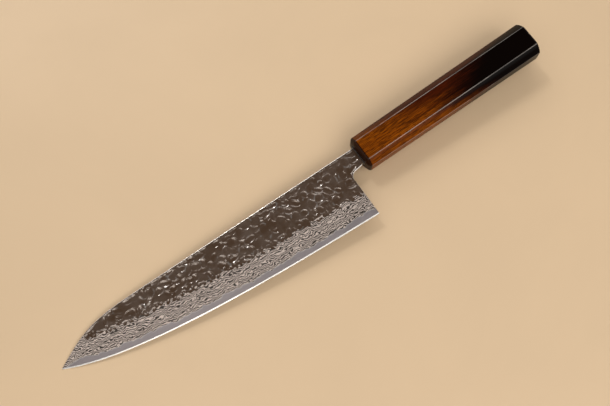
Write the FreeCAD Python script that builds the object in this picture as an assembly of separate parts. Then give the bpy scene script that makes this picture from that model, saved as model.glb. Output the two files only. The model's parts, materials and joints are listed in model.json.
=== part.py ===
import FreeCAD, Part
import math
import os
from FreeCAD import Vector

# A chef knife of the gyuto pattern, with a forged three-layer blade and an octagonal wooden handle.
#
# It is drawn first in the knife's own axes, in millimetres:
#   X  along the handle, from the tip (negative) to the butt (positive), 0 at the handle's front face
#   Y  towards the spine; the cutting edge is on the negative side
#   Z  out of the blade's left face; Z = 0 is the middle of the blade's thickness
# At the end every piece is turned and moved together, so that the knife lies on its right side on
# Z = 0. The blade outweighs the handle, so it rests on the point and on the handle's front corner.

# ---- blade outline -----------------------------------------------------------------------------
neck_length = 11.4          # handle face to the heel
blade_run = 207.6           # heel to tip, along X
heel_drop = 37.2            # handle axis down to the heel
tip_drop = 5.3              # handle axis down to the tip
neck_height = 12.5          # at the handle face, centred on the handle axis
neck_flare = 0.6            # the neck's lower edge falls by this much before the choil's curve
choil_radius = 4.6          # inner curve between the neck and the heel line
heel_pull = 62.5            # how far the edge keeps its direction at the heel
heel_angle = 3.4            # degrees, edge direction at the heel
edge_tip_pull = 44.7        # how far the edge keeps its direction at the tip
edge_tip_angle = 28.8       # degrees, edge direction at the tip
spine_rise = 2.25           # the spine climbs this much from the handle to the shoulder
tip_curve_run = 56.7        # shoulder of the spine to the tip, along X
shoulder_pull = 28.8        # how far the spine keeps its direction at the shoulder
spine_tip_pull = 22.7       # how far the spine keeps its direction at the tip
spine_tip_angle = 28.3      # degrees, spine direction at the tip

# ---- blade thickness and grind -----------------------------------------------------------------
neck_thickness = 2.4        # flats at the neck's shoulder
tip_thickness = 0.9         # flats, continued to the tip
core_neck_thickness = 0.64  # hard core lamina at the neck's shoulder
core_tip_thickness = 0.40   # hard core lamina at the tip
bevel_height = 17.5         # primary bevel, measured up from the cutting edge
edge_bevel_height = 0.75    # small final bevel at the cutting edge
edge_shoulder = 0.30        # thickness where the final bevel starts

# ---- tang --------------------------------------------------------------------------------------
shoulder_gap = 2.0          # the neck's lower shoulder stands this far in front of the handle
shoulder_step = 0.85        # height of that shoulder
tang_length = 96.0          # inside the handle
tang_end_height = 5.0
tang_end_thickness = 1.8
tang_end_rise = 0.4         # the tang's end sits this far above the handle axis

# ---- handle ------------------------------------------------------------------------------------
handle_length = 136.0
front_width = 22.2          # across Y
front_thickness = 17.6      # across Z
front_bevel = 4.1           # each 45 degree corner facet takes this much off the width and the thickness
butt_width = 24.3
butt_thickness = 19.2
butt_bevel = 5.0
front_crown_run = 2.4       # the front end is crowned over this length
front_crown_inset = 3.8     # and drawn in by this much at the face
butt_round = 2.4            # rounding of the butt's rim

# ---- tang fit ----------------------------------------------------------------------------------
bedding_gap = 0.45          # adhesive between the tang and the mortise, on every side
bedding_end_gap = 4.0       # adhesive beyond the tang's end
seal_depth = 1.2            # sealant inside the mouth of the mortise
seal_proud = 0.5            # sealant standing out of the handle face
seal_width = 0.55           # the bead covers this much of the handle's face around the mortise
seal_round = 0.4            # rounding of the bead's rim

# ---- values that follow ------------------------------------------------------------------------
heel_x = -neck_length
tip_x = heel_x - blade_run
blade_end_margin = 7.0      # cutters and slabs reach this far past what they cut
tip_margin = 1.5            # the blank runs this far past the tip, within the reach of the grind
heel_point = Vector(heel_x, -heel_drop, 0)
tip_point = Vector(tip_x, -tip_drop, 0)
neck_top = neck_height / 2
neck_bottom = -neck_height / 2
tang_top = neck_top
tang_bottom = neck_bottom + shoulder_step
mortise_end = tang_length + bedding_end_gap
grind_stations = 14         # sections along the blade that shape the grind
rim_steps = 5               # sections that make up each rounded rim


def along(angle, length):
    """A step of the given length, the angle counted from -X up towards +Y."""
    return Vector(-length * math.cos(math.radians(angle)), length * math.sin(math.radians(angle)), 0)


EDGE_POLES = [heel_point,
              heel_point + along(heel_angle, heel_pull),
              tip_point - along(edge_tip_angle, edge_tip_pull),
              tip_point]


def edge_at(t):
    """Point of the cutting edge's curve: t = 0 at the heel, t = 1 at the tip, and a little beyond both."""
    s = 1 - t
    weights = [s ** 3, 3 * s * s * t, 3 * s * t * t, t ** 3]
    point = Vector(0, 0, 0)
    for pole, weight in zip(EDGE_POLES, weights):
        point = point + pole * weight
    return point


def taper(at_neck, at_tip, x):
    """A size that changes evenly from the neck's shoulder to the tip."""
    return at_neck + (at_tip - at_neck) * (x + shoulder_gap) / (tip_x + shoulder_gap)


def polygon(points):
    """Closed wire through the points."""
    return Part.makePolygon(points + [points[0]])


def rectangle(x, y_low, y_high, half_z):
    """Corners of a rectangle across X."""
    return [Vector(x, y_low, -half_z), Vector(x, y_high, -half_z),
            Vector(x, y_high, half_z), Vector(x, y_low, half_z)]


def facetted(sections):
    """Solid with flat faces between matching polygons, which stand across X from low to high X."""
    faces = [Part.Face(polygon(sections[0])), Part.Face(polygon(sections[-1]))]
    for near, far in zip(sections, sections[1:]):
        for k in range(len(near)):
            after = (k + 1) % len(near)
            faces.append(Part.Face(polygon([near[k], near[after], far[after], far[k]])))
    shell = Part.makeShell(faces)
    shell.sewShape()
    solid = Part.makeSolid(shell)
    return solid if solid.Volume > 0 else solid.reversed()


def block(x_low, x_high, y_low, y_high, half_low, half_high):
    """Wedge between two equally tall rectangles across X."""
    return facetted([rectangle(x_low, y_low, y_high, half_low),
                     rectangle(x_high, y_low, y_high, half_high)])


# ---- blade -------------------------------------------------------------------------------------

def blade_profile():
    """Side view of the neck and blade, left open below the edge: the grind cuts the edge itself."""
    deep = -heel_drop - blade_end_margin
    shoulder = Vector(tip_x + tip_curve_run, neck_top + spine_rise, 0)
    root = Vector(-shoulder_gap, neck_top, 0)
    ahead = (shoulder - root).normalize()
    tip_step = along(-spine_tip_angle, spine_tip_pull)
    past_tip = tip_point + along(-spine_tip_angle, tip_margin)
    crown = Part.BezierCurve()
    crown.setPoles([shoulder, shoulder + ahead * shoulder_pull, tip_point - tip_step, tip_point])

    bend_start = Vector(heel_x + choil_radius, neck_bottom - neck_flare, 0)
    bend_end = Vector(heel_x, neck_bottom - neck_flare - choil_radius, 0)
    bend_mid = Vector(heel_x + choil_radius * (1 - math.sqrt(0.5)),
                      neck_bottom - neck_flare - choil_radius * (1 - math.sqrt(0.5)), 0)
    step_foot = Vector(-shoulder_gap, neck_bottom, 0)
    corner_front = Vector(past_tip.x, deep, 0)
    corner_heel = Vector(heel_x, deep, 0)
    edges = [Part.makeLine(root, shoulder),
             crown.toShape(),
             Part.makeLine(tip_point, past_tip),
             Part.makeLine(past_tip, corner_front),
             Part.makeLine(corner_front, corner_heel),
             Part.makeLine(corner_heel, bend_end),
             Part.Arc(bend_end, bend_mid, bend_start).toShape(),
             Part.makeLine(bend_start, step_foot),
             Part.makeLine(step_foot, root)]
    return Part.Face(Part.Wire(edges))


def grind_cutter(side):
    """What grinding takes off one side: the primary bevel, the final bevel and all below the edge."""
    over = bevel_height + blade_end_margin
    floor = -heel_drop - blade_end_margin * 2
    clear = neck_thickness * 3
    sections = []
    for station in range(grind_stations + 1):
        t = -0.03 + 1.07 * station / grind_stations
        edge = edge_at(t)
        flat = taper(neck_thickness, tip_thickness, edge.x) / 2
        half_edge = edge_shoulder / 2
        slope = (flat - half_edge) / (bevel_height - edge_bevel_height)
        outline = [(edge.y + over, half_edge + slope * (over - edge_bevel_height)),
                   (edge.y + edge_bevel_height, half_edge),
                   (edge.y, 0),
                   (floor, 0),
                   (floor, clear),
                   (edge.y + over, clear)]
        sections.append(polygon([Vector(edge.x, y, side * z) for y, z in outline]))
    return Part.makeLoft(sections, True, False)


def tang_section(x, gap=0.0):
    """Rectangle of the stick tang at x, widened by a gap; it tapers from the neck's shoulder to its end."""
    share = (x + shoulder_gap) / (tang_length + shoulder_gap)
    end_bottom = tang_end_rise - tang_end_height / 2
    end_top = tang_end_rise + tang_end_height / 2
    low = tang_bottom + (end_bottom - tang_bottom) * share
    high = tang_top + (end_top - tang_top) * share
    half = (neck_thickness + (tang_end_thickness - neck_thickness) * share) / 2
    return rectangle(x, low - gap, high + gap, half + gap)


def tang():
    """Stick tang, from the neck's shoulder to its end inside the handle."""
    return facetted([tang_section(-shoulder_gap), tang_section(tang_length)])


def forged_blade():
    """Blade and tang in one piece, before it is told apart into its three layers."""
    reach = tip_x - blade_end_margin * 2
    tall = heel_drop + blade_end_margin * 2
    flats = block(reach, -shoulder_gap, -tall, tall,
                  taper(neck_thickness, tip_thickness, reach) / 2, neck_thickness / 2)
    thick = neck_thickness * 2
    plate = blade_profile().extrude(Vector(0, 0, thick))
    plate.translate(Vector(0, 0, -thick / 2))
    blank = plate.common(flats)
    ground = blank.cut(grind_cutter(1)).cut(grind_cutter(-1))
    return ground.fuse(tang()).removeSplitter()


def layer_slab(side):
    """The space of one layer: side 0 is the core, 1 the left cladding, -1 the right cladding."""
    low_x = tip_x - blade_end_margin * 2
    high_x = tang_length + blade_end_margin
    tall = heel_drop + blade_end_margin * 2
    inner = [taper(core_neck_thickness, core_tip_thickness, x) / 2 for x in (low_x, high_x)]
    if side == 0:
        return block(low_x, high_x, -tall, tall, inner[0], inner[1])
    outer = neck_thickness * 2
    ends = []
    for x, z in zip((low_x, high_x), inner):
        ends.append([Vector(x, -tall, side * z), Vector(x, tall, side * z),
                     Vector(x, tall, side * outer), Vector(x, -tall, side * outer)])
    return facetted(ends)


def blade_core(forged):
    """Hard steel lamina: bare along the cutting edge, running on through the tang."""
    return forged.common(layer_slab(0))


def cladding(forged, side):
    """Soft layered steel forge-welded to one side of the core."""
    return forged.common(layer_slab(side))


# ---- handle ------------------------------------------------------------------------------------

def octagon(x, width, thickness, bevel, inset=0.0):
    """Corners of the handle's section across X; the inset draws every facet in by the same distance."""
    y_out = width / 2 - inset
    z_out = thickness / 2 - inset
    leg = bevel - inset * (2 - math.sqrt(2))
    corners = [(y_out - leg, z_out), (y_out, z_out - leg), (y_out, leg - z_out), (y_out - leg, -z_out),
               (leg - y_out, -z_out), (-y_out, leg - z_out), (-y_out, z_out - leg), (leg - y_out, z_out)]
    return [Vector(x, y, z) for y, z in corners]


def quarter_round(run, draw_in):
    """Steps of a rounded rim, from its face outwards: how far along it is and how far it is drawn in."""
    angles = [math.pi / 2 * step / rim_steps for step in range(rim_steps + 1)]
    return [(run * (1 - math.cos(angle)), draw_in * (1 - math.sin(angle))) for angle in angles]


def handle_blank():
    """Octagonal bar, a little stouter at the butt, with a crowned front end and a rounded butt."""
    front = [octagon(x, front_width, front_thickness, front_bevel, inset)
             for x, inset in quarter_round(front_crown_run, front_crown_inset)]
    butt = [octagon(handle_length - x, butt_width, butt_thickness, butt_bevel, inset)
            for x, inset in quarter_round(butt_round, butt_round)]
    return facetted(front + butt[::-1])


def mortise(x_low, x_high):
    """Pocket cut for the tang: the tang's taper with the adhesive gap added on every side."""
    return facetted([tang_section(x_low, bedding_gap), tang_section(x_high, bedding_gap)])


def handle_body():
    """Hardwood handle with the tang's mortise."""
    return handle_blank().cut(mortise(-seal_proud, mortise_end))


def tang_bedding(forged):
    """Adhesive that fills the mortise around and beyond the tang."""
    return mortise(seal_depth, mortise_end).cut(forged)


def mouth_seal(forged, handle):
    """Sealant in the mouth of the mortise, with a rounded bead around the neck that beds on the crown."""
    sections = []
    for x, inset in quarter_round(seal_round, seal_round):
        bead = tang_section(0, bedding_gap + seal_width - inset)
        sections.append([corner + Vector(x - seal_proud, 0, 0) for corner in bead])
    sections.append([corner + Vector(seal_depth + seal_proud - seal_round, 0, 0) for corner in sections[-1]])
    return facetted(sections).cut(handle).cut(forged)


# ---- resting pose ------------------------------------------------------------------------------

def resting_tilt():
    """Degrees by which the point drops when the knife lies on its side."""
    corner_z = -front_thickness / 2
    point_z = -edge_shoulder / 2
    return math.degrees(math.atan2(point_z - corner_z, front_crown_run - tip_x))


def lay_down(pieces):
    """Turn all pieces to the resting pose and put the origin at the bottom centre of their box."""
    for shape in pieces.values():
        shape.rotate(Vector(0, 0, 0), Vector(0, 1, 0), -resting_tilt())
    box = FreeCAD.BoundBox()
    for shape in pieces.values():
        box.add(shape.optimalBoundingBox(False, False))
    shift = Vector(-box.Center.x, -box.Center.y, -box.ZMin)
    for shape in pieces.values():
        shape.translate(shift)
    return shift


def build():
    """All pieces of the knife by name, in the resting pose, and the shift that put them there."""
    forged = forged_blade()
    handle = handle_body()
    pieces = {
        "blade_core": blade_core(forged),
        "left_cladding": cladding(forged, 1),
        "right_cladding": cladding(forged, -1),
        "handle_body": handle,
        "tang_bedding": tang_bedding(forged),
        "mouth_seal": mouth_seal(forged, handle),
    }
    shift = lay_down(pieces)
    return pieces, shift


pieces, shift = build()
os.makedirs("parts", exist_ok=True)
for name, shape in pieces.items():
    shape.exportStep("parts/" + name + ".step")
    box = shape.BoundBox
    print(name, "valid", shape.isValid(), "solids", len(shape.Solids), "volume", round(shape.Volume, 2),
          "box", [round(v, 2) for v in (box.XMin, box.YMin, box.ZMin, box.XMax, box.YMax, box.ZMax)])
print("resting tilt", round(resting_tilt(), 4), "shift", [round(v, 4) for v in shift])
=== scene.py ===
"""The looks of a chef knife of the gyuto pattern, modelled around its fixed frame.

Everything is drawn in the knife's own axes, as in the frame's construction: X from the tip to the butt
with 0 at the handle's front face, Y from the edge to the spine, Z out of the blade's left face. KNIFE
takes those axes to the resting pose. Outline sums are in millimetres, meshes in metres.
"""
import json
import math
from types import SimpleNamespace

import bmesh
import bpy
import numpy as np
from bpy.props import FloatProperty, FloatVectorProperty, IntProperty, PointerProperty
from mathutils import Matrix, Vector


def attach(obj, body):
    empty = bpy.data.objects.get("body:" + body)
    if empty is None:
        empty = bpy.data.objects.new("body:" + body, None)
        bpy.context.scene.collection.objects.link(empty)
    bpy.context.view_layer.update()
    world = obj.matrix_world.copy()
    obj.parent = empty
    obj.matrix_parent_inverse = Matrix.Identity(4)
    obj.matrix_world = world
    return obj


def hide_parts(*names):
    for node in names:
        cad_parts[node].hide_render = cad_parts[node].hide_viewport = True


bl_info = {
    "name": "Chef knife",
    "version": (1, 0, 0),
    "blender": (4, 5, 0),
    "location": "View3D > Sidebar > Knife",
    "description": "Forged layered blade with a hammered face on an octagonal lacquered handle",
    "category": "Object",
}

MM = 0.001

# how finely the meshes are divided
CORE_COLUMNS = 620       # tip to heel
CLADDING_COLUMNS = 530   # tip to heel
HEEL_COLUMNS = 53        # up the heel's wall
CHOIL_COLUMNS = 20
FACE_ROWS = 128          # across a cladding's face
ARC_ROWS = 4             # round a cladding's rim
EDGE_STEPS = 6           # round a long edge of the handle
INNER_SHARES = (1.0, 0.7, 0.4, 0.2, 0.08, 0.0)  # down a cladding's hidden side

# distances in millimetres
CLADDING_STEP = 0.010    # the cladding stands this far above the core
LEAST_CLADDING = 0.04    # the deepest marks leave this much of it
LAND_DEPTH = 0.05        # the marks' rims lie this far under the flat
RIM_FADE = 1.6           # the marks fade out over this much next to a rim
RIM_MARGIN = 0.4
CORE_GAP = 0.001         # the core starts this far behind the tip
TIP_GAP = 0.6            # and the claddings this far
SPINE_FAN = 24.0         # the mesh's columns lean forward by this much over the heel
FAN_RUN = 100.0          # and stand upright from this far in front of it

# uneven line where the layers start: run and swing of each wave, in millimetres
LINE_WAVES = ((47, 0.30), (23, 0.30), (12.7, 0.30), (7.1, 0.26), (4.3, 0.20), (2.6, 0.12))
LINE_ROOM = 0.42         # that line stays under this share of the blade's height

# hammer marks, in millimetres
ROWS_FROM, ROWS_TO = -24.0, 12.0
NECK_CLEAR, SPINE_OVER = 2.5, 1.5        # no mark's middle past these
STRIP_DROP, STRIP_HALF = 1.5, 1.9        # the strip of small marks below the large ones
RAGGED = 2.5                             # how uneven the large marks' lowest row is
# as shares of the spacing, of a mark's radius or of its depth
ROW_PITCH = 0.86
SCATTER = (0.24, 0.22)
STRETCH, LEAN = 1.45, 0.015
REACH = 1.8
COVER_FROM, COVER_FADE = 1.05, 0.22
LIP_SHARE, LIP_WIDTH, RIDGE_WIDTH = 0.05, 0.18, 0.12
SMALL_SPACING, SMALL_RADIUS, SMALL_DEPTH, SMALL_CHANCE = 0.5, 0.42, 0.45, 0.8
RADIUS_POWER, DEPTH_POWER = 0.25, 0.62   # how they follow the blade's thickness

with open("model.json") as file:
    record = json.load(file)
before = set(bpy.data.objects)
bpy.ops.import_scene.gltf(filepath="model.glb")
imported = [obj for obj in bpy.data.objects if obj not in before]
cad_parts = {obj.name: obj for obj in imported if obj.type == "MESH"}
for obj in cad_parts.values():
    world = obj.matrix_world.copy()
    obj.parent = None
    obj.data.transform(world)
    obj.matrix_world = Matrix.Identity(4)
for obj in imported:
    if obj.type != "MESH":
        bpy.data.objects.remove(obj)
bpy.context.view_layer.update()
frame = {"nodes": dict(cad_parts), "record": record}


# ---- where the knife lies

def coordinates(mesh):
    """Points of a mesh as rows."""
    flat = np.empty(len(mesh.vertices) * 3)
    mesh.vertices.foreach_get("co", flat)
    return flat.reshape(-1, 3)


def node_points(name):
    """Points of a frame node, in metres, in the resting pose."""
    return coordinates(frame["nodes"][name].data)


def knife_axes():
    """Matrix from the knife's own axes to the resting pose."""
    sheath = next(mount for mount in frame["record"]["mounts"] if mount["name"] == "sheath")
    tilt = math.atan2(-sheath["axis"][2], -sheath["axis"][0])
    turn = Matrix.Rotation(-tilt, 4, "Y")
    own = node_points("handle_body") @ np.array(turn.to_3x3())
    low, high = own.min(0), own.max(0)
    face = Vector((low[0], (low[1] + high[1]) / 2, (low[2] + high[2]) / 2))
    return Matrix.Translation(turn @ face) @ turn


KNIFE = knife_axes()
TO_KNIFE = KNIFE.inverted()


def own_axes(points):
    """Points of the resting pose, in metres, in the knife's own axes, in millimetres."""
    matrix = np.array(TO_KNIFE)
    return (points @ matrix[:3, :3].T + matrix[:3, 3]) / MM


def piece_points(piece):
    return own_axes(coordinates(piece.data))


CORE_POINTS = own_axes(node_points("blade_core"))
TIP = CORE_POINTS[CORE_POINTS[:, 0].argmin()]
HEEL = CORE_POINTS[CORE_POINTS[:, 1].argmin()]
BUTT_X = own_axes(node_points("handle_body"))[:, 0].max()


# ---- sizes and colours a user would change

def label(key):
    return key.replace("_", " ").capitalize()


def lengths(**rows):
    """Properties from their notes and millimetres."""
    return {key: FloatProperty(name=label(key), description=note, default=value * MM, unit="LENGTH",
                               subtype="DISTANCE", precision=5) for key, (note, value) in rows.items()}


def angles(**rows):
    """Properties from their notes and degrees."""
    return {key: FloatProperty(name=label(key), description=note, default=math.radians(value),
                               unit="ROTATION", subtype="ANGLE") for key, (note, value) in rows.items()}


def colours(**rows):
    """Properties from their notes and colours."""
    return {key: FloatVectorProperty(name=label(key), description=note, default=value, size=3, min=0,
                                     max=1, subtype="COLOR") for key, (note, value) in rows.items()}


class BladeSizes(bpy.types.PropertyGroup):
    __annotations__ = lengths(
        neck_height=("Its height at the handle", 12.5),
        neck_flare=("Fall of its lower edge before the choil", 0.6),
        choil_radius=("Inner curve behind the heel", 4.6),
        heel_pull=("The edge keeps its direction this far", 62.5),
        edge_tip_pull=("The edge keeps its direction this far", 44.7),
        spine_rise=("Climb from the neck to the shoulder", 2.25),
        tip_curve_run=("From the spine's shoulder to the tip", 56.7),
        shoulder_pull=("The spine keeps its direction this far", 28.8),
        spine_tip_pull=("The spine keeps its direction this far", 22.7),
        neck_thickness=("Thickness of the flats at the neck", 2.4),
        tip_thickness=("The same, continued to the tip", 0.9),
        bevel_height=("Primary bevel, up from the cutting edge", 17.5),
        edge_bevel_height=("Final bevel at the cutting edge", 0.75),
        edge_shoulder=("Thickness where the final bevel starts", 0.30),
        band_height=("Bare core steel, up from the cutting edge", 4.45),
        core_reach=("The core goes this far up at full taper", 6.2),
        rim_round=("Eased rims of the spine, neck and choil", 0.45),
        heel_round=("Eased rims of the heel", 0.12),
        shoulder_gap=("The neck's lower shoulder stands this far out", 2.0),
        shoulder_step=("Height of that shoulder", 0.85),
        tang_length=("Its length inside the handle", 96.0),
        tang_end_height=("Its height there", 5.0),
        tang_end_thickness=("Its thickness there", 1.8),
        tang_end_rise=("Its end sits this far above the handle's axis", 0.4),
    ) | angles(
        heel_angle=("Direction of the edge at the heel", 3.4),
        edge_tip_angle=("Direction of the edge at the tip", 28.8),
        spine_tip_angle=("Direction of the spine at the tip", 28.3),
    )


class HammerMarks(bpy.types.PropertyGroup):
    __annotations__ = lengths(
        spacing=("Distance between the marks' middles", 5.6),
        smallest=("Radius of the smallest mark", 2.5),
        largest=("Radius of the largest mark", 4.2),
        shallow=("Depth of the shallowest mark", 0.20),
        deep=("Depth of the deepest mark", 0.46),
        start=("Lowest marks, up from the cutting edge", 18.6),
    ) | {"seed": IntProperty(name="Seed", description="Changes where the marks fall", default=11)}


class HandleSizes(bpy.types.PropertyGroup):
    __annotations__ = lengths(
        front_width=("Across Y at the front", 22.2),
        front_thickness=("Across Z at the front", 17.6),
        front_bevel=("Each corner facet takes this off both", 4.1),
        butt_width=("Across Y at the butt", 24.3),
        butt_thickness=("Across Z at the butt", 19.15),
        butt_bevel=("Corner facets at the butt", 5.0),
        crown_run=("The front end is crowned over this length", 2.4),
        crown_inset=("The crown draws the face in this far", 3.8),
        butt_round=("Rounding between the sides and the end", 1.5),
        butt_dome=("The end bulges this far", 0.4),
        facet_crown=("The corner facets bulge this far at the butt", 0.26),
        butt_face=("The end is flat this far in from the sides", 8.3),
        edge_round=("Rounding of the long edges", 0.75),
        bedding_gap=("Adhesive round the tang", 0.45),
        bedding_end=("Adhesive beyond the tang's end", 4.0),
        seal_depth=("Sealant inside the mortise", 1.2),
        seal_proud=("Sealant outside the mortise", 0.5),
        seal_width=("Width of the bead around the mortise", 0.55),
    )


class Finishes(bpy.types.PropertyGroup):
    __annotations__ = colours(
        hammered=("Darkened steel of the flats", (0.084, 0.047, 0.026)),
        # the lighter rim colour is worn bare steel and also a painted highlight along the marks' rims
        ridge=("Ridges between the marks", (0.50, 0.47, 0.45)),
        layer_light=("Bright layers of the etched steel", (0.665, 0.565, 0.505)),
        layer_dark=("Dark layers of the etched steel", (0.045, 0.035, 0.029)),
        core=("Bare core along the edge", (0.36, 0.325, 0.335)),
        honed=("Final bevel at the edge", (0.92, 0.90, 0.87)),
        polished=("Eased rims of the spine and neck", (0.80, 0.77, 0.73)),
        amber=("The handle behind its crown", (0.315, 0.078, 0.0025)),
        chestnut=("The middle of the handle", (0.062, 0.0085, 0.0015)),
        ebony=("The butt and the crown", (0.0022, 0.0008, 0.0004)),
        pore=("Dark pores along the grain", (0.020, 0.004, 0.001)),
        # painted highlight: a pale colour along the long edges that stands in for their reflection
        rubbed=("Worn lacquer on the long edges", (0.86, 0.74, 0.64)),
        table=("The plain table top", (0.70, 0.515, 0.325)),
    )


class View(bpy.types.PropertyGroup):
    __annotations__ = {
        "lens": FloatProperty(name="Lens", description="Focal length on a 36 mm wide sensor",
                              default=0.050, unit="CAMERA", subtype="DISTANCE_CAMERA"),
        "place": FloatVectorProperty(name="Camera", description="Camera in the knife's own axes", size=3,
                                     default=(-0.12220, -0.11554, 0.50342), unit="LENGTH", subtype="XYZ"),
    } | angles(
        yaw=("Turn of the view about the knife's Z", 35.34),
        pitch=("Tilt of the view", -14.97),
        roll=("Roll of the view", -0.07),
    )


class KnifeSettings(bpy.types.PropertyGroup):
    blade: PointerProperty(type=BladeSizes, name="Blade")
    marks: PointerProperty(type=HammerMarks, name="Hammer marks")
    handle: PointerProperty(type=HandleSizes, name="Handle")
    finish: PointerProperty(type=Finishes, name="Finishes")
    view: PointerProperty(type=View, name="View")


def settings():
    return bpy.context.scene.knife


def millimetres(group):
    """The values of a property group, with its lengths in millimetres."""
    sizes = SimpleNamespace()
    for key in group.__annotations__:
        value = getattr(group, key)
        is_length = group.bl_rna.properties[key].unit == "LENGTH"
        setattr(sizes, key, value / MM if is_length else value)
    return sizes


# ---- outline, grind and hammer marks of the blade

def bezier(poles, count):
    """Points along a curve drawn by four poles."""
    t = np.linspace(0, 1, count)[:, None]
    weights = ((1 - t) ** 3, 3 * (1 - t) ** 2 * t, 3 * (1 - t) * t ** 2, t ** 3)
    return sum(weight * np.array(pole) for weight, pole in zip(weights, poles))


def towards_tip(angle, reach):
    """A step of that length, the angle counted from -X up towards +Y."""
    return np.array((-reach * math.cos(angle), reach * math.sin(angle)))


def smooth(share):
    """The share with a soft start and end."""
    return share * share * (3 - 2 * share)


def between(first, last, share):
    return first + (last - first) * share


class Blade:
    """The blade as heights over its side view: x along it, y across it, in millimetres."""

    CURVE_POINTS = 3000

    def __init__(self, sizes, marks):
        self.size = sizes
        self.marks = marks
        heel, tip = HEEL[:2], TIP[:2]
        edge = bezier((heel, heel + towards_tip(sizes.heel_angle, sizes.heel_pull),
                       tip - towards_tip(sizes.edge_tip_angle, sizes.edge_tip_pull), tip),
                      self.CURVE_POINTS)
        root = np.array((-sizes.shoulder_gap, sizes.neck_height / 2))
        shoulder = np.array((tip[0] + sizes.tip_curve_run, root[1] + sizes.spine_rise))
        ahead = (shoulder - root) / np.linalg.norm(shoulder - root)
        crown = bezier((shoulder, shoulder + ahead * sizes.shoulder_pull,
                        tip - towards_tip(-sizes.spine_tip_angle, sizes.spine_tip_pull), tip),
                       self.CURVE_POINTS)
        self.edge_line = edge[::-1]
        self.spine_line = np.vstack((crown[::-1], root))
        radius = sizes.choil_radius
        self.neck_low = -sizes.neck_height / 2
        self.choil_middle = np.array((HEEL[0] + radius, self.neck_low - sizes.neck_flare - radius))

    def edge(self, x):
        return np.interp(x, self.edge_line[:, 0], self.edge_line[:, 1])

    def spine(self, x):
        return np.interp(x, self.spine_line[:, 0], self.spine_line[:, 1])

    def flat(self, x):
        """Half thickness of the flats."""
        size = self.size
        share = (x + size.shoulder_gap) / (TIP[0] + size.shoulder_gap)
        return between(size.neck_thickness, size.tip_thickness, share) / 2

    def bevel(self, x, rise):
        """Half thickness of the two bevels at a height above the edge."""
        size = self.size
        half_edge = size.edge_shoulder / 2
        foot = size.edge_bevel_height
        slope = (self.flat(x) - half_edge) / (size.bevel_height - foot)
        return np.where(rise < foot, rise * half_edge / foot, half_edge + slope * (rise - foot))

    def ground(self, x, y):
        """Half thickness before the hammer marks."""
        return np.minimum(self.flat(x), self.bevel(x, y - self.edge(x)))

    def core_half(self, x, y):
        """Half thickness of the core: its bare band, then its hidden flat."""
        under = self.bevel(x, self.size.core_reach)
        return np.minimum(self.ground(x, y) - CLADDING_STEP, under)

    def band(self, x, side):
        """Height of the bare core above the edge, a little uneven along the blade."""
        draw = np.random.default_rng(self.marks.seed * 10 + side + 3)
        wave = np.zeros_like(x)
        for run, swing in LINE_WAVES:
            wave = wave + swing * np.sin(2 * math.pi * x / run + draw.uniform(0, 2 * math.pi))
        room = self.spine(x) - self.edge(x)
        return np.minimum(self.size.band_height + wave, LINE_ROOM * room)

    def strikes(self, side):
        """Hammer marks of one side: middle, radius, depth, turn, stretch and lean of each."""
        marks = self.marks
        draw = np.random.default_rng(marks.seed + side)
        strikes = []
        for small in (False, True):
            step = marks.spacing * (SMALL_SPACING if small else 1.0)
            for row, low in enumerate(np.arange(ROWS_FROM, ROWS_TO, step * ROW_PITCH)):
                for column in np.arange(TIP[0], -1.0, step):
                    cx = column + (row % 2) * step / 2 + draw.normal(0, SCATTER[0]) * step
                    cy = low + draw.normal(0, SCATTER[1]) * step
                    radius = draw.uniform(marks.smallest, marks.largest)
                    deep = draw.uniform(marks.shallow, marks.deep)
                    turn, stretch = draw.uniform(0, math.pi), draw.uniform(1.0, STRETCH)
                    lean = draw.normal(0, LEAN, 2)
                    chance = draw.uniform()
                    rise = cy - float(self.edge(min(cx, HEEL[0])))
                    if cx > -NECK_CLEAR or cy > float(self.spine(cx)) + SPINE_OVER:
                        continue
                    if small:
                        radius *= SMALL_RADIUS
                        deep *= SMALL_DEPTH
                        if abs(rise - marks.start + STRIP_DROP) > STRIP_HALF or chance > SMALL_CHANCE:
                            continue
                    elif rise < marks.start + (chance - 0.7) * RAGGED:
                        continue
                    thin = float(self.flat(cx)) / float(self.flat(HEEL[0]))
                    strikes.append((cx, cy, radius * thin ** RADIUS_POWER, deep * thin ** DEPTH_POWER,
                                    turn, stretch, lean))
        shuffled = [strike[2] * draw.uniform(0.55, 1.45) for strike in strikes]
        return [strikes[at] for at in np.argsort(shuffled)[::-1]]

    def hollows(self, x, y, side):
        """Depth below the flat of marks struck one over the other, and how near their rims are."""
        depth = np.zeros_like(x)
        ridge = np.zeros_like(x)
        for cx, cy, radius, deep, turn, stretch, lean in self.strikes(side):
            near = np.nonzero(np.maximum(abs(x - cx), abs(y - cy)) < radius * REACH)[0]
            dx, dy = x[near] - cx, y[near] - cy
            along = (dx * math.cos(turn) + dy * math.sin(turn)) / stretch
            across = (-dx * math.sin(turn) + dy * math.cos(turn)) * stretch
            share = np.sqrt(along ** 2 + across ** 2) / radius
            cover = smooth(np.clip((COVER_FROM - share) / COVER_FADE, 0, 1))
            bowl = deep * (1 - share ** 2) + LAND_DEPTH + (lean[0] * dx + lean[1] * dy) * (share < 1.1)
            lip = np.exp(-((share - 1.03) / LIP_WIDTH) ** 2)
            top = np.exp(-((share - 1.0) / RIDGE_WIDTH) ** 2)
            depth[near] = depth[near] * (1 - cover) + bowl * cover - LIP_SHARE * deep * lip
            ridge[near] = np.maximum(ridge[near] * (1 - cover), top)
        depth = np.maximum(depth, 0)
        far = 2 * RIM_FADE
        middle = self.choil_middle
        from_choil = np.hypot(*(np.stack((x, y), 1) - middle).T) - self.size.choil_radius
        from_choil = np.where(y > middle[1], from_choil, far)
        from_neck = np.where(x > middle[0], y - self.neck_low, far)
        room = np.minimum(np.minimum(self.spine(x) - y, from_neck), from_choil)
        fade = np.clip((room - RIM_MARGIN) / RIM_FADE, 0, 1)
        return depth * smooth(fade), ridge * fade

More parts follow.
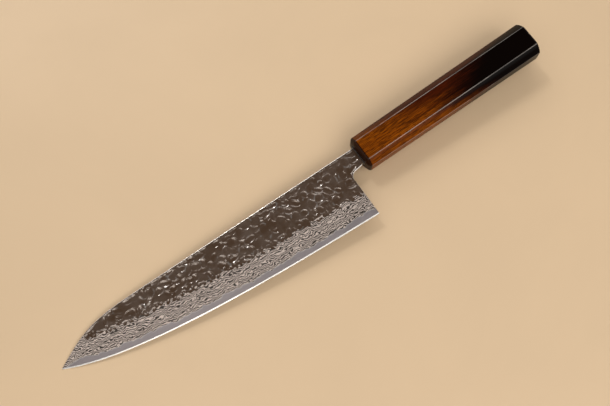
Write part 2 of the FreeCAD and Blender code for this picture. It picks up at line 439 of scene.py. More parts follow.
    def face(self, x, y, side):
        """Half thickness of the finished blade."""
        flat = x.ravel(), y.ravel()
        struck = self.flat(x) - self.hollows(*flat, side)[0].reshape(x.shape)
        struck = np.maximum(struck, self.bevel(x, self.size.core_reach) + LEAST_CLADDING)
        return np.minimum(struck, self.bevel(x, y - self.edge(x)))

    def tang(self, x):
        """Low edge, high edge and half thickness of the tang."""
        size = self.size
        share = (x + size.shoulder_gap) / (size.tang_length + size.shoulder_gap)
        rise, half_end = size.tang_end_rise, size.tang_end_height / 2
        low = between(self.neck_low + size.shoulder_step, rise - half_end, share)
        high = between(-self.neck_low, rise + half_end, share)
        return low, high, between(size.neck_thickness, size.tang_end_thickness, share) / 2

    def choil(self, count):
        """Points and inward directions round the choil and along the neck's lower edge."""
        turn = np.linspace(math.pi, math.pi / 2, count)
        out = np.stack((np.cos(turn), np.sin(turn)), 1)
        bend = self.choil_middle + self.size.choil_radius * out
        end = (-self.size.shoulder_gap, self.neck_low)
        straight = np.linspace(bend[-1], end, count // 2 + 1)[1:]
        return np.vstack((bend, straight)), np.vstack((out, np.tile((0.0, 1.0), (len(straight), 1))))


def the_blade():
    chosen = settings()
    return Blade(millimetres(chosen.blade), millimetres(chosen.marks))


# ---- mesh tools

def pick(piece=None):
    """Selects the piece alone, or nothing, so that the next operator starts clean."""
    bpy.ops.object.select_all(action="DESELECT")
    if piece:
        piece.select_set(True)
        bpy.context.view_layer.objects.active = piece


def name_piece(name):
    piece = bpy.context.active_object
    piece.name = name
    piece.data.name = name
    return piece


def close_piece(piece, merge=1e-6):
    """Merges doubles, closes open ends and turns the faces outwards."""
    mesh = bpy.ops.mesh
    bpy.ops.object.mode_set(mode="EDIT")
    mesh.select_mode(type="VERT")
    for step, choices in ((mesh.remove_doubles, {"threshold": merge}),
                          (mesh.dissolve_degenerate, {"threshold": merge}),
                          (mesh.fill_holes, {"sides": 0}),
                          (mesh.normals_make_consistent, {"inside": False})):
        mesh.select_all(action="SELECT")
        step(**choices)
    if bmesh.from_edit_mesh(piece.data).calc_volume(signed=True) < 0:
        mesh.flip_normals()
    bpy.ops.object.mode_set(mode="OBJECT")


def skin(name, rings, material_of):
    """Closed piece through rings of points, columns by points, in knife millimetres."""
    columns, around = rings.shape[:2]
    pick()
    bpy.ops.mesh.primitive_grid_add(x_subdivisions=columns - 1, y_subdivisions=around, size=1)
    piece = name_piece(name)
    mesh = piece.data
    flat = coordinates(mesh)
    column = np.rint((flat[:, 0] + 0.5) * (columns - 1)).astype(int)
    row = np.rint((flat[:, 1] + 0.5) * around).astype(int)
    matrix = np.array(KNIFE)
    places = rings[column, row % around] * MM @ matrix[:3, :3].T + matrix[:3, 3]
    corners = np.empty(len(mesh.polygons) * 4, int)
    mesh.polygons.foreach_get("vertices", corners)
    corners = corners.reshape(-1, 4)
    finish = material_of(row[corners].min(1), column[corners].min(1))
    mesh.polygons.foreach_set("material_index", finish.astype(np.int32))
    mesh.vertices.foreach_set("co", places.ravel())
    mesh.update()
    close_piece(piece)
    return piece


def mark_points(piece, name, values):
    """Stores one number per point of the mesh, for the finishes to read."""
    layer = piece.data.attributes.new(name, "FLOAT", "POINT")
    layer.data.foreach_set("value", np.asarray(values, np.float32))


def soften(piece, degrees):
    """Smooth shading that keeps edges sharper than the angle."""
    pick(piece)
    bpy.ops.object.shade_smooth_by_angle(angle=math.radians(degrees))


def apply_modifier(piece, kind, **values):
    pick(piece)
    modifier = piece.modifiers.new(kind.title(), kind)
    for key, value in values.items():
        setattr(modifier, key, value)
    bpy.ops.object.modifier_apply(modifier=modifier.name)


def hand_in(piece, *nodes, slot):
    """Ties a piece to the frame."""
    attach(piece, "root")
    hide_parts(*nodes)


# ---- blade core

def core_rings(blade):
    """Rings round the core: the cutting edge, the left side up to the spine, then down the right side."""
    size = blade.size
    reach = size.core_reach
    rises = np.concatenate(([0.0, size.edge_bevel_height],
                            np.linspace(size.edge_bevel_height, reach, 12)[1:]))
    line = np.linspace(TIP[0] + CORE_GAP, HEEL[0], CORE_COLUMNS)
    low, high = blade.edge(line), blade.spine(line)
    middle_share = (blade.choil_middle[1] - low[-1] - reach) / (high[-1] - low[-1] - reach)
    middle = low + reach + np.maximum(high - low - reach, 0) * middle_share
    heights = np.vstack([low + rise for rise in rises] + [middle, high])
    heights = np.minimum(heights, high)
    xs = np.tile(line, (len(heights), 1))
    left = np.stack((xs, heights, blade.core_half(xs, heights)), -1)
    left[0, :, 2] = 0.0

    def column(corner, half, top):
        """All points of a column in its lower corner, but for the one at the spine."""
        foot = np.tile((*corner, half), (len(rises) + 1, 1))
        foot[0, 2] = 0.0
        return np.vstack((foot, top))

    bend, _ = blade.choil(CHOIL_COLUMNS)
    spine_x = np.linspace(HEEL[0], -size.shoulder_gap, len(bend))
    columns = []
    for corner, top_x in zip(bend, spine_x):
        top = top_x, blade.spine(top_x), blade.bevel(top_x, reach)
        columns.append(column(corner, blade.bevel(corner[0], reach), top))
    for x in (-size.shoulder_gap, size.tang_length):
        bottom, top, _ = blade.tang(x)
        half = blade.bevel(-size.shoulder_gap, reach)
        columns.append(column((x, bottom), half, (x, top, half)))
    left = np.concatenate((left, np.stack(columns, 1)), 1).transpose(1, 0, 2)
    return np.concatenate((left, left[:, :0:-1] * (1, 1, -1)), 1)


def make_core():
    blade = the_blade()
    finish = settings().finish
    rings = core_rings(blade)
    last_row = rings.shape[1] - 1

    def finish_of(row, column):
        return ((row == 0) | (row == last_row)) & (column < CORE_COLUMNS - 1)

    core = skin("bare_core", rings, finish_of)
    x, y, z = piece_points(core).T
    line = np.where(z > 0, blade.band(x, 1), blade.band(x, -1))
    mark_points(core, "from_line", y - blade.edge(x) - line)
    soften(core, 6)
    core.data.materials.append(material("Core steel", core_steel))
    core.data.materials.append(material("Honed steel", bright_steel, finish.honed, 0.26, 0.5))
    hand_in(core, "blade_core", slot="core_steel")


# ---- claddings

def cladding_frame(blade, side):
    """Lower and upper boundary of a cladding, with the inward directions and the rim radii."""
    size = blade.size
    line = np.linspace(TIP[0] + TIP_GAP, HEEL[0], CLADDING_COLUMNS)
    low = np.stack((line, blade.edge(line) + blade.band(line, side)), 1)
    low_in = np.tile((0.0, 1.0), (len(low), 1))
    bend, bend_in = blade.choil(CHOIL_COLUMNS)
    wall = np.linspace(low[-1], bend[0], HEEL_COLUMNS + 2)[1:-1]
    wall_in = np.tile((-1.0, 0.0), (len(wall), 1))
    lean = smooth(np.clip((line - HEEL[0] + FAN_RUN) / FAN_RUN, 0, 1))
    over_heel = HEEL[0] - 1.0
    top = np.concatenate((line - SPINE_FAN * lean,
                          np.linspace(HEEL[0] - SPINE_FAN, over_heel, HEEL_COLUMNS + 2)[1:-1],
                          np.linspace(over_heel, -size.shoulder_gap, len(bend))))
    high = np.stack((top, blade.spine(top)), 1)
    low_round = np.repeat((0.02, size.heel_round, size.rim_round * 1.3),
                          (len(low), len(wall), len(bend)))
    slope = np.gradient(high[:, 1], high[:, 0])
    high_in = np.stack((slope, -np.ones_like(slope)), 1) / np.hypot(slope, 1)[:, None]
    return (np.vstack((low, wall, bend)), np.vstack((low_in, wall_in, bend_in)), low_round,
            high, high_in, np.full(len(high), size.rim_round))


def rim(corner, inward, radius, inner, face):
    """Points of a rounded rim, from its wall to the face, and the place where the face starts."""
    thick = face(*corner.T) - inner(*corner.T)
    radius = np.minimum(radius, thick * 0.7)
    start = corner + inward * radius[:, None]
    height = face(*start.T)
    steps = []
    for turn in np.linspace(0, math.pi / 2, ARC_ROWS + 1):
        place = corner + inward * (radius * (1 - math.cos(turn)))[:, None]
        steps.append(np.column_stack((place, height - radius * (1 - math.sin(turn)))))
    return steps, start


def cladding_rings(blade, side):
    """Rings round one cladding: the rim at the wave line, the face, the spine's rim, the hidden inside."""
    low, low_in, low_round, high, high_in, high_round = cladding_frame(blade, side)

    def face(x, y):
        return blade.face(x, y, side)

    lower, face_low = rim(low, low_in, low_round, blade.core_half, face)
    upper, face_high = rim(high, high_in, high_round, blade.core_half, face)
    shares = np.linspace(0, 1, FACE_ROWS + 1)[1:-1]
    places = between(face_low[:, None], face_high[:, None], shares[:, None])
    outer = np.dstack((places, face(places[..., 0], places[..., 1])))
    shares = np.array(INNER_SHARES)
    places = between(low[:, None], high[:, None], shares[:, None])
    inner = np.dstack((places, blade.core_half(places[..., 0], places[..., 1])))
    rings = np.concatenate((np.stack(lower, 1), outer, np.stack(upper[::-1], 1), inner), 1)

    gap = blade.size.shoulder_gap
    is_inner = np.arange(rings.shape[1]) > 2 * ARC_ROWS + FACE_ROWS
    bottom, top, _ = blade.tang(-gap)
    share = np.clip((rings[-1, :, 1] - bottom) / (top - bottom), 0, 1)
    tang = []
    for x in (-gap, blade.size.tang_length):
        bottom, top, half = blade.tang(x)
        ring = np.tile((x, bottom, half), (rings.shape[1], 1))
        ring[:, 1] += (top - bottom) * share
        ring[is_inner, 2] = blade.bevel(-gap, blade.size.core_reach)
        tang.append(ring)
    rings = np.concatenate((rings, np.stack(tang)), 0)
    return rings * (1, 1, side)


def make_cladding(side):
    blade = the_blade()
    hand = "left" if side > 0 else "right"

    def finish_of(row, column):
        return (row >= ARC_ROWS + FACE_ROWS) | (row < ARC_ROWS) & (column >= CLADDING_COLUMNS)

    cladding = skin(hand + "_layered_steel", cladding_rings(blade, side), finish_of)
    x, y, _ = piece_points(cladding).T
    depth, ridge = blade.hollows(x, y, side)
    rise = y - blade.edge(x)
    beyond = blade.bevel(x, rise) - (blade.flat(x) - depth)
    for key, values in (("rise", rise), ("hammered", beyond), ("hollow", depth), ("ridge", ridge)):
        mark_points(cladding, key, values)
    soften(cladding, 28)
    polished = material("Polished steel", bright_steel, settings().finish.polished, 0.22, 0.06)
    cladding.data.materials.append(material("Layered steel", layered_steel))
    cladding.data.materials.append(polished)
    hand_in(cladding, hand + "_cladding", slot="layered_steel")


# ---- handle

def octagon(width, thickness, bevel, inset=0.0):
    """Corners of the handle's section as (y, z); the inset draws every facet in by the same distance."""
    y_out, z_out = width / 2 - inset, thickness / 2 - inset
    leg = bevel - inset * (2 - math.sqrt(2))
    corners = []
    for y_sign, z_sign in ((1, 1), (1, -1), (-1, -1), (-1, 1)):
        pair = [(y_sign * (y_out - leg), z_sign * z_out), (y_sign * y_out, z_sign * (z_out - leg))]
        corners += pair if y_sign * z_sign > 0 else pair[::-1]
    return [Vector(corner) for corner in corners]


def handle_section(x, corners, rounding, crown):
    """Octagon across X with rounded corners, its four corner facets bulged by the crown."""
    points = []
    for at, corner in enumerate(corners):
        before, after = corners[at - 1] - corner, corners[(at + 1) % 8] - corner
        reach = min(rounding, 0.45 * min(before.length, after.length))
        first, last = corner + before.normalized() * reach, corner + after.normalized() * reach
        for share in (step / EDGE_STEPS for step in range(EDGE_STEPS + 1)):
            points.append(first * (1 - share) ** 2 + corner * 2 * share * (1 - share) + last * share ** 2)
        if at % 2 == 0:
            far = corner + after * (1 - reach / after.length)
            outward = Vector((after.y, -after.x)).normalized()
            outward *= 1 if outward.dot(corner) > 0 else -1
            for share in (0.25, 0.5, 0.75):
                points.append(last.lerp(far, share) + outward * crown * 4 * share * (1 - share))
    return [(x, point.x, point.y) for point in points]


def by_turn(points, place):
    """The points in the order of their turn about X, round their middle."""
    middle = sum((place(point) for point in points), Vector()) / len(points)
    return sorted(points, key=lambda point: math.atan2(*(place(point) - middle).zy))


def quarter_round(run, draw_in, steps):
    """How far along and how far drawn in each step of a rounded rim is, from its face outwards."""
    turns = [math.pi / 2 * step / steps for step in range(steps + 1)]
    return [(run * (1 - math.cos(turn)), draw_in * (1 - math.sin(turn))) for turn in turns]


def butt_profile(size):
    """How far back and how far drawn in each step of the butt is, from the middle of its end outwards."""
    span = size.butt_face - size.butt_round
    dome = [(size.butt_dome * share ** 2, size.butt_face - span * share)
            for share in (0.0, 0.35, 0.6, 0.8)]
    rim = quarter_round(size.butt_round, size.butt_round, 8)
    return dome + [(x + size.butt_dome, inset) for x, inset in rim]


def place_ring(piece, corners):
    """Moves the selected ring of points to the corners, matched by their turn."""
    edit = bmesh.from_edit_mesh(piece.data)
    chosen = by_turn([point for point in edit.verts if point.select], lambda point: point.co)
    for point, corner in zip(chosen, by_turn(corners, Vector)):
        point.co = Vector(corner) * MM
    bmesh.update_edit_mesh(piece.data)


def extruded_bar(name, sections):
    """Bar pulled from one section to the next along X, as sections of equally many corners."""
    pick()
    bpy.ops.mesh.primitive_circle_add(vertices=len(sections[0]), radius=0.01, fill_type="NGON",
                                      rotation=(0, math.pi / 2, 0))
    piece = name_piece(name)
    bpy.ops.object.transform_apply(location=True, rotation=True, scale=True)
    bpy.ops.object.mode_set(mode="EDIT")
    bpy.ops.mesh.select_mode(type="VERT")
    bpy.ops.mesh.select_all(action="SELECT")
    place_ring(piece, sections[0])
    for section in sections[1:]:
        bpy.ops.mesh.extrude_region_move(TRANSFORM_OT_translate={"value": (MM, 0, 0)})
        place_ring(piece, section)
    bpy.ops.object.mode_set(mode="OBJECT")
    close_piece(piece)
    return piece


def block_section(blade, x, gap, like=None):
    """The tang's section at one place along it, widened by a gap, set at x."""
    bottom, top, half = blade.tang(x if like is None else like)
    low, high, half = bottom - gap, top + gap, half + gap
    return [(x, low, -half), (x, high, -half), (x, high, half), (x, low, half)]


def tang_block(name, x_low, x_high, gap, blade):
    """Bar with the tang's section, widened by a gap."""
    return extruded_bar(name, [block_section(blade, x, gap) for x in (x_low, x_high)])


def cut_away(piece, tool):
    """Takes the tool's shape out of the piece and deletes the tool."""
    apply_modifier(piece, "BOOLEAN", object=tool, operation="DIFFERENCE", solver="EXACT")
    bpy.data.objects.remove(tool)


def make_handle():
    size = millimetres(settings().handle)
    blade = the_blade()
    at_front = size.front_width, size.front_thickness, size.front_bevel
    at_butt = size.butt_width, size.butt_thickness, size.butt_bevel
    front = [handle_section(x, octagon(*at_front, inset), size.edge_round, 0.0)
             for x, inset in quarter_round(size.crown_run, size.crown_inset, 9)]
    butt = []
    for x, inset in butt_profile(size):
        corners = octagon(*at_butt, inset)
        crown = size.facet_crown * (corners[1] - corners[0]).length / (size.butt_bevel * math.sqrt(2))
        butt.append(handle_section(BUTT_X - x, corners, size.edge_round + inset, crown))
    handle = extruded_bar("lacquered_handle", front + butt[::-1])
    mouth = tang_block("mortise_tool", -size.seal_proud, size.bedding_end + blade.size.tang_length,
                       size.bedding_gap, blade)
    cut_away(handle, mouth)
    handle.data.transform(KNIFE)
    points = piece_points(handle)
    share = points[:, 0] / BUTT_X
    nearest = np.full(len(points), 99.0)
    for near, far in zip(octagon(*at_front), octagon(*at_butt)):
        corner = np.array(near) + np.outer(share, far - near)
        nearest = np.minimum(nearest, np.hypot(*(points[:, 1:] - corner).T))
    # closeness to the long edges, where the finish paints a highlight
    mark_points(handle, "edge", np.clip(1.25 - 1.25 * nearest / size.edge_round, 0, 1))
    soften(handle, 28)
    apply_modifier(handle, "WEIGHTED_NORMAL", keep_sharp=True, weight=100)
    handle.data.materials.append(material("Lacquered oak", lacquered_oak))
    hand_in(handle, "handle_body", slot="oak")


def make_seal():
    size = millimetres(settings().handle)
    blade = the_blade()
    gap = size.bedding_gap
    bead = gap + size.seal_width
    rim = [(x - size.seal_proud, bead - inset) for x, inset in quarter_round(0.4, 0.4, 5)]
    steps = rim + [(0.0, bead), (0.0, gap), (size.seal_depth, gap)]
    seal = extruded_bar("mouth_bead", [block_section(blade, x, width, 0.0) for x, width in steps])
    bpy.ops.object.mode_set(mode="EDIT")
    bpy.ops.mesh.select_mode(type="EDGE")
    bpy.ops.mesh.select_all(action="DESELECT")
    for edge in bmesh.from_edit_mesh(seal.data).edges:
        a, b = (point.co.x for point in edge.verts)
        edge.select_set(abs(a - b) > 1e-6 and max(a, b) < 1e-6)
    bmesh.update_edit_mesh(seal.data)
    bpy.ops.mesh.bevel(offset=0.3 * MM, segments=3, profile=0.5, affect="EDGES")
    bpy.ops.object.mode_set(mode="OBJECT")
    close_piece(seal)
    cut_away(seal, tang_block("tang_tool", -2.0, 4.0, 0.0, blade))
    seal.data.transform(KNIFE)
    soften(seal, 40)
    seal.data.materials.append(material("Dark seal resin", resin, (0.016, 0.012, 0.010),
                                        (0.030, 0.024, 0.020), 0.22))
    hand_in(seal, "mouth_seal", slot="sealant")
    bedding = frame["nodes"]["tang_bedding"]
    bedding.data.materials.clear()
    bedding.data.materials.append(material("Set bedding resin", resin, (0.24, 0.19, 0.13),
                                           (0.34, 0.29, 0.22), 0.45))


# ---- node tools

class Net:
    """A node tree with short ways to add nodes. An input takes a socket, a value, or None to leave it."""

    def __init__(self, tree):
        self.tree = tree

    def join(self, socket, value):
        if isinstance(value, bpy.types.NodeSocket):
            self.tree.links.new(value, socket)
        elif value is not None:
            without_alpha = socket.type == "RGBA" and len(value) == 3
            socket.default_value = (*value, 1.0) if without_alpha else value

    def put(self, kind, *values, named=None, **choices):
        """Adds a node with its choices, then its inputs in order or by name."""
        node = self.tree.nodes.new("ShaderNode" + kind)
        for key, value in choices.items():
            setattr(node, key, value)
        for socket, value in zip(node.inputs, values):
            self.join(socket, value)
        for key, value in (named or {}).items():
            self.join(node.inputs[key], value)
        return node

    def maths(self, operation, *values):
        return self.put("Math", *values, operation=operation).outputs[0]

    def times(self, value, factor, offset=0.0):
        return self.maths("MULTIPLY_ADD", value, factor, offset)

    def centred(self, value):
        return self.maths("SUBTRACT", value, 0.5)

    def ramp(self, value, low, high, to_low=0.0, to_high=1.0):
        """The value taken smoothly from one range to another, clamped."""
        return self.put("MapRange", value, low, high, to_low, to_high, clamp=True,
                        interpolation_type="SMOOTHSTEP").outputs[0]

    def mix(self, share, first, second):
        """The first colour with a share of the second."""
        node = self.put("Mix", share, data_type="RGBA", clamp_factor=True)
        self.join(node.inputs[6], first)
        self.join(node.inputs[7], second)
        return node.outputs[2]

    def noise(self, vector, scale=1.0, detail=2.0, rough=0.5, distortion=0.0):
        return self.put("TexNoise", named={"Vector": vector, "Scale": scale, "Detail": detail,
                                           "Roughness": rough, "Distortion": distortion}).outputs["Fac"]

    def stretched(self, vector, scale, shift=(0, 0, 0)):
        return self.put("Mapping", vector, shift, (0, 0, 0), scale).outputs[0]

    def squeezed(self, vector, along, across):
        """The vector scaled by one value along X and by another across it."""
        scale = self.put("CombineXYZ", along, across, across).outputs[0]
        return self.put("VectorMath", vector, scale, operation="MULTIPLY").outputs[0]

    def stored(self, name):
        """A number that the mesh holds at each of its points."""
        return self.put("Attribute", attribute_name=name, attribute_type="GEOMETRY").outputs["Fac"]

    def own_coordinates(self):
        """The surface's place in the knife's own axes, in millimetres."""
        place, turn, _ = TO_KNIFE.decompose()
        at = self.put("TexCoord").outputs["Object"]
        return self.put("Mapping", at, place / MM, turn.to_euler(), (1 / MM,) * 3).outputs[0]

    def bump(self, height, distance, strength):
        """Surface normal from a height that stands the distance in millimetres."""
        return self.put("Bump", named={"Strength": strength, "Distance": distance * MM,
                                       "Height": height}).outputs["Normal"]

    def use(self, group, **values):
        """Places a shared effect with its own values."""
        node = self.put("Group", node_tree=group)
        for key, value in values.items():
            self.join(node.inputs[key], value)
        return node.outputs

    def feed(self, **values):
        """Links or sets the surface shader's sockets; underscores stand for spaces."""
        shader = self.tree.nodes["Principled BSDF"]
        for key, value in values.items():
            self.join(shader.inputs[key.replace("_", " ")], value)


def effect(name, build, **inputs):
    """Shader group, built once: build gets its net and its inputs and gives its outputs by name."""
    tree = bpy.data.node_groups.get(name)
    if tree:
        return tree
    tree = bpy.data.node_groups.new(name, "ShaderNodeTree")
    new_socket = tree.interface.new_socket
    new_socket("Vector", in_out="INPUT", socket_type="NodeSocketVector")
    for key, value in inputs.items():
        socket = new_socket(key.replace("_", " "), in_out="INPUT", socket_type="NodeSocketFloat")
        socket.default_value = value
    results = build(Net(tree), tree.nodes.new("NodeGroupInput").outputs)
    for key in results:
        new_socket(key, in_out="OUTPUT", socket_type="NodeSocketFloat")
    leave = tree.nodes.new("NodeGroupOutput")
    for key, socket in results.items():
        tree.links.new(socket, leave.inputs[key])
    return tree


def material(name, paint, *values):
    """The named material, made once: paint gets its net, the knife's coordinates and the values."""
    made = bpy.data.materials.get(name)
    if made is None:
        made = bpy.data.materials.new(name)
        made.use_nodes = True
        net = Net(made.node_tree)
        paint(net, net.own_coordinates(), *values)
    return made


# ---- shared effects

def scratches(net, at, fineness, reach):
    """Long thin grinding marks, along the first axis of the vector."""
    def build(net, into):
        spread = net.squeezed(into["Vector"], into["Length"], into["Fineness"])
        return {"Mark": net.ramp(net.noise(spread, 1.0, 3.0, 0.7), 0.35, 0.68)}

    group = effect("Fine scratches", build, Fineness=6.0, Length=0.05)
    return net.use(group, Vector=at, Fineness=fineness, Length=reach)["Mark"]


def handling(net, at, size):
    """Cloudy patches where a surface is a little duller or brighter."""
    def build(net, into):
        scale = net.maths("DIVIDE", 1.0, into["Size"])
        return {"Patch": net.ramp(net.noise(into["Vector"], scale, 4.0, 0.6, 0.4), 0.32, 0.70)}

    return net.use(effect("Handling", build, Size=12.0), Vector=at, Size=size)["Patch"]


def layers(net, at, rise, pitch, swirl):
    """Contour lines of forged layers, folded into long islands along the blade."""
    def build(net, into):
        at, fold = into["Vector"], into["Swirl"]
        broad = net.noise(net.stretched(at, (0.19, 0.25, 0.0)), 1.0, 1.5, 0.5, 0.7)
        small = net.noise(net.stretched(at, (0.46, 0.58, 0.0), (7, 3, 0)), 1.0, 1.0, 0.5, 0.4)
        curl = net.times(net.centred(small), net.times(fold, 0.36))
        folds = net.times(net.centred(broad), fold, curl)
        level = net.maths("ADD", net.maths("DIVIDE", into["Rise"], into["Pitch"]), folds)
        wave = net.maths("SINE", net.times(level, 2 * math.pi))
        islands = net.noise(net.stretched(at, (0.075, 0.20, 0.0), (31, 5, 0)), 1.0, 3.0, 0.6, 0.6)
        return {"Line": net.ramp(wave, -0.45, 0.45), "Island": net.ramp(islands, 0.40, 0.66)}

    group = effect("Etched layers", build, Rise=8.0, Pitch=0.9, Swirl=3.0)
    return net.use(group, Vector=at, Rise=rise, Pitch=pitch, Swirl=swirl)


def grain(net, at):
    """Growth bands, short dark pores and fibres that run along the handle."""
    def build(net, into):
        at = into["Vector"]
        narrow = net.maths("DIVIDE", 1.0, into["Band width"])
        thin = net.maths("DIVIDE", 1.0, into["Pore width"])
        band = net.noise(net.squeezed(at, 0.012, narrow), 1.0, 3.0, 0.55, 0.3)
        pore = net.noise(net.squeezed(at, 0.17, thin))
        fibre = net.noise(net.stretched(at, (0.075, 1.7, 1.7)), 1.0, 3.0, 0.7)
        return {"Band": net.ramp(band, 0.32, 0.68), "Pore": net.ramp(pore, 0.48, 0.58),
                "Fibre": net.ramp(fibre, 0.3, 0.7)}

    return net.use(effect("Oak grain", build, Band_width=2.6, Pore_width=0.42), Vector=at)


# ---- finishes: each paints the surface of a new material

def layered_steel(net, at):
    """Hammered and darkened above, ground and etched below."""
    finish = settings().finish
    hammered = net.ramp(net.stored("hammered"), -0.004, 0.010)
    hollow = net.ramp(net.stored("hollow"), 0.02, 0.15)
    etched = layers(net, at, net.stored("rise"), 1.12, 4.4)
    line = etched["Line"]
    patch = handling(net, at, 9.0)
    mark = scratches(net, at, 7.0, 0.09)
    soft = net.noise(net.stretched(at, (0.7, 1.6, 1.0)), 1.0, 4.0, 0.7)

    contrast = net.times(etched["Island"], 0.4, 1.1)
    level = net.times(net.centred(line), contrast, 0.295)
    level = net.times(net.centred(soft), 0.30, level)
    pattern = net.mix(level, finish.layer_dark, finish.layer_light)

    # patches of the marks' rims take the lighter colour and more metal: worn bare steel, and also a painted
    # highlight standing in for the rims' light lines
    wear_and_sheen_spots = net.ramp(net.noise(at, 0.24, 1.0), 0.58, 0.68, 0.0, 0.45)
    wear_and_sheen = net.times(net.times(net.stored("ridge"), wear_and_sheen_spots), hammered)
    dark = net.mix(net.times(patch, 0.06), finish.hammered, finish.ridge)
    dark = net.mix(net.times(hollow, -0.02, 0.02), dark, finish.ridge)
    dark = net.mix(wear_and_sheen, dark, finish.ridge)
    dark = net.mix(net.times(line, 0.18), dark, finish.layer_dark)

    ground = net.times(mark, 0.08, net.times(line, -0.10, 0.50))
    struck = net.times(patch, 0.10, 0.16)
    rough = net.put("Mix", hammered, None, ground, struck, data_type="FLOAT").outputs[0]
    ground_marks = net.times(mark, net.times(hammered, -1.0, 1.0))
    relief = net.times(ground_marks, 0.12, net.times(line, net.times(hammered, -0.97, 1.0)))
    net.feed(Base_Color=net.mix(hammered, pattern, dark), Roughness=rough,
             Metallic=net.times(wear_and_sheen, 0.5, net.times(hammered, -0.34, 0.60)),
             Normal=net.bump(relief, 0.030, 0.7),
             Coat_Weight=net.times(hammered, 0.82), Coat_Roughness=0.10, Coat_IOR=1.65)


def core_steel(net, at):
    """Plain ground steel with fine grinding marks and a lighter line where the layers start."""
    finish = settings().finish
    mark = scratches(net, at, 9.0, 0.04)
    near = net.ramp(net.stored("from_line"), -0.75, -0.1)
    base = net.mix(net.times(near, 0.35), finish.core, finish.polished)
    rough = net.times(handling(net, at, 16.0), 0.08, net.times(mark, 0.06, 0.36))
    net.feed(Metallic=1.0, Base_Color=net.mix(net.times(mark, 0.16), base, finish.layer_dark),
             Roughness=rough, Normal=net.bump(mark, 0.002, 0.5))


def bright_steel(net, at, tint, rough, reach):
    """Bright steel with grinding marks of some reach along the knife."""
    mark = scratches(net, at, 8.0, reach)
    rough = net.times(handling(net, at, 7.0), 0.08, net.times(mark, 0.06, rough))
    net.feed(Metallic=1.0, Base_Color=net.mix(net.times(mark, 0.25), tint, [value * 0.7 for value in tint]),
             Roughness=rough, Normal=net.bump(mark, 0.002, 0.4))


def lacquered_oak(net, at):
    """Stained oak under clear gloss lacquer: amber, then chestnut, then black towards the butt, with a
    painted highlight along the long edges.
    """
    finish = settings().finish
    oak = grain(net, at)
    patch = handling(net, at, 22.0)
    x, y, z = net.put("SeparateXYZ", at).outputs
    ragged = net.times(net.centred(oak["Fibre"]), 9.0, net.times(net.centred(oak["Band"]), 7.0))
    reach = net.times(z, -0.8, net.maths("ADD", x, ragged))
    above = net.times(net.maths("MAXIMUM", y, 0.0), 4.5, reach)
    below = net.maths("MINIMUM", net.maths("ADD", y, 7.0), 0.0)
    to_chestnut = net.ramp(net.times(below, 7.0, above), 16.0, 74.0)
    aside = net.maths("MAXIMUM", net.maths("SUBTRACT", net.maths("ABSOLUTE", z), 8.6), -4.0)
    to_black = net.ramp(net.times(aside, 8.0, net.times(y, -1.6, reach)), 48.0, 96.0)

    deeper = [value * share for value, share in zip(finish.amber, (0.62, 0.50, 0.5))]
    wood = net.mix(net.times(oak["Band"], 0.55), finish.amber, deeper)
    wood = net.mix(to_chestnut, wood, finish.chestnut)
    wood = net.mix(net.times(oak["Pore"], 0.68), wood, finish.pore)
    wood = net.mix(net.times(oak["Fibre"], 0.54), wood, finish.pore)
    wood = net.mix(to_black, wood, finish.ebony)
    # painted highlight: a pale colour laid along the long edges in place of their reflection; the same
    # share also thickens the coat there
    edge_highlight_share = net.times(net.ramp(net.stored("edge"), 0.60, 1.0), net.ramp(patch, 0, 1, 0.10, 0.30))
    wood = net.mix(edge_highlight_share, wood, finish.rubbed)
    crown = net.ramp(net.times(patch, 0.25, x), 2.25, 2.75, 0.88, 0.0)
    relief = net.times(oak["Pore"], -0.6, oak["Fibre"])
    net.feed(Base_Color=net.mix(crown, wood, finish.ebony), Roughness=net.times(patch, 0.1, 0.42),
             Normal=net.bump(relief, 0.010, 0.4), IOR=1.45, Specular_IOR_Level=0.0,
             Coat_Weight=net.times(edge_highlight_share, 0.9, 0.42), Coat_Roughness=0.05, Coat_IOR=1.5)


def resin(net, at, dark, light, rough):
    patch = handling(net, at, 2.0)
    net.feed(Base_Color=net.mix(patch, dark, light), Roughness=net.times(patch, 0.15, rough),
             Normal=net.bump(patch, 0.02, 0.4))


def plain_table(net, at):
    tint = settings().finish.table
    patch = handling(net, at, 140.0)
    net.feed(Base_Color=net.mix(patch, tint, [value * 0.96 for value in tint]),
             Roughness=net.times(patch, 0.05, 0.5))


# ---- stage

# lamps: name, place in the knife's axes and size in metres, watts, colour
SOFTBOXES = (
    ("Near softbox", (0.12, -0.90, 0.95), (1.6, 0.8), 7.6, (1.0, 0.97, 0.93)),
    ("Far softbox", (0.25, 1.05, 0.85), (1.6, 0.6), 4.8, (1.0, 0.97, 0.93)),
    ("Overhead light", (-0.25, -0.10, 1.10), (0.44, 0.16), 0.9, (1.0, 0.93, 0.85)),
    ("Edge strip", (-0.05, -0.23, 1.10), (1.4, 0.09), 1.2, (1.0, 0.97, 0.93)),
    ("Glint lamp left", (0.02, 1.06, 1.28), (0.12, 0.12), 2.1, (1.0, 1.0, 1.0)),
    ("Glint lamp right", (0.02, 1.22, 1.24), (0.12, 0.12), 2.1, (1.0, 1.0, 1.0)),
)
LAMP_AIM = (-0.05, -0.01, 0.0)
# the room's colours: below the horizon, its walls, overhead
LOW_WALL, HIGH_WALL, CEILING = (0.11, 0.104, 0.098), (0.95, 0.925, 0.90), (0.05, 0.048, 0.046)


def add_to_scene(name, data):
    holder = bpy.data.objects.new(name, data)
    bpy.context.scene.collection.objects.link(holder)
    return holder


def make_softbox(name, place, size, watts, tint):
    """Soft rectangular lamp, turned to the middle of the knife."""
    lamp = bpy.data.lights.new(name, "AREA")
    lamp.shape = "RECTANGLE"
    lamp.size, lamp.size_y = size
    lamp.energy = watts
    lamp.color = tint
    holder = add_to_scene(name, lamp)
    holder.location = KNIFE @ Vector(place)
    ahead = KNIFE @ Vector(LAMP_AIM) - holder.location
    holder.rotation_euler = ahead.to_track_quat("-Z", "Y").to_euler()


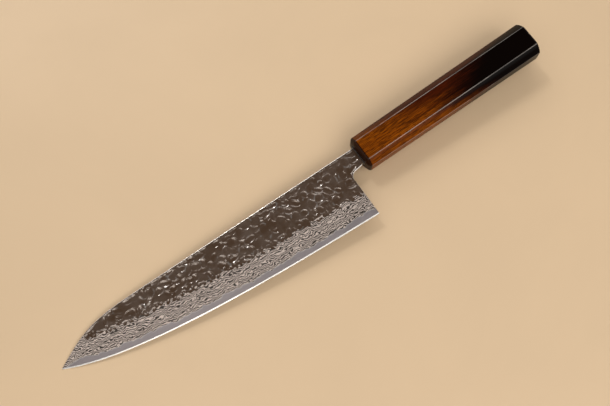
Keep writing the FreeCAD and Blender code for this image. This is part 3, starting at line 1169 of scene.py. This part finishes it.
def light_room(scene):
    """Pale walls around, dark above and below."""
    scene.world = scene.world or bpy.data.worlds.new("Studio")
    scene.world.use_nodes = True
    sky = Net(scene.world.node_tree)
    background = sky.tree.nodes["Background"].inputs
    height = sky.put("SeparateXYZ", sky.put("TexCoord").outputs["Generated"]).outputs[2]
    wall = sky.mix(sky.ramp(height, 0.20, 0.50), LOW_WALL, HIGH_WALL)
    sky.join(background["Color"], sky.mix(sky.ramp(height, 0.56, 0.86), wall, CEILING))
    background["Strength"].default_value = 1.0


def make_stage():
    view = settings().view
    pick()
    bpy.ops.mesh.primitive_plane_add(size=4.0, location=(0, 0, 0))
    floor = name_piece("table_top")
    floor.data.materials.append(material("Plain table", plain_table))

    scene = bpy.context.scene
    light_room(scene)
    scene.view_settings.view_transform = "Standard"
    for lamp in SOFTBOXES:
        make_softbox(*lamp)

    lens = bpy.data.cameras.new("Camera")
    lens.sensor_width = 36.0
    lens.lens = view.lens / MM
    lens.clip_start = 0.01
    camera = add_to_scene("Camera", lens)
    look = (Matrix.Rotation(view.roll, 3, "Y") @ Matrix.Rotation(view.pitch, 3, "X")
            @ Matrix.Rotation(view.yaw, 3, "Z")).transposed()
    camera.matrix_world = KNIFE @ Matrix.Translation(Vector(view.place)) @ look.to_4x4()
    scene.camera = camera


# ---- operators and panel

class KNIFE_OT_core(bpy.types.Operator):
    """Model the hard core lamina with its bare band and honed edge"""
    bl_idname = "knife.make_core"
    bl_label = "Blade core"

    def execute(self, context):
        make_core()
        return {"FINISHED"}


class KNIFE_OT_claddings(bpy.types.Operator):
    """Model the two hammered and layered claddings"""
    bl_idname = "knife.make_claddings"
    bl_label = "Claddings"

    def execute(self, context):
        make_cladding(1)
        make_cladding(-1)
        return {"FINISHED"}


class KNIFE_OT_handle(bpy.types.Operator):
    """Model the octagonal lacquered handle"""
    bl_idname = "knife.make_handle"
    bl_label = "Handle"

    def execute(self, context):
        make_handle()
        return {"FINISHED"}


class KNIFE_OT_seal(bpy.types.Operator):
    """Model the dark bead around the neck and give the bedding its finish"""
    bl_idname = "knife.make_seal"
    bl_label = "Mouth seal and bedding"

    def execute(self, context):
        make_seal()
        return {"FINISHED"}


class KNIFE_OT_stage(bpy.types.Operator):
    """Set up the table top, the lamps and the camera"""
    bl_idname = "knife.make_stage"
    bl_label = "Stage"

    def execute(self, context):
        make_stage()
        return {"FINISHED"}


STEPS = (KNIFE_OT_core, KNIFE_OT_claddings, KNIFE_OT_handle, KNIFE_OT_seal, KNIFE_OT_stage)


class KNIFE_PT_sidebar(bpy.types.Panel):
    """Lists the knife's pieces in the order they are made"""
    bl_idname = "KNIFE_PT_sidebar"
    bl_label = "Chef knife"
    bl_space_type = "VIEW_3D"
    bl_region_type = "UI"
    bl_category = "Knife"

    def draw(self, context):
        for step in STEPS:
            self.layout.operator(step.bl_idname)


GROUPS = (BladeSizes, HammerMarks, HandleSizes, Finishes, View, KnifeSettings)


def register():
    for made in GROUPS + STEPS + (KNIFE_PT_sidebar,):
        bpy.utils.register_class(made)
    bpy.types.Scene.knife = PointerProperty(type=KnifeSettings)


def unregister():
    del bpy.types.Scene.knife
    for made in reversed(GROUPS + STEPS + (KNIFE_PT_sidebar,)):
        bpy.utils.unregister_class(made)


def main():
    register()
    bpy.ops.knife.make_core()
    bpy.ops.knife.make_claddings()
    bpy.ops.knife.make_handle()
    bpy.ops.knife.make_seal()
    bpy.ops.knife.make_stage()


if __name__ == "__main__":
    main()
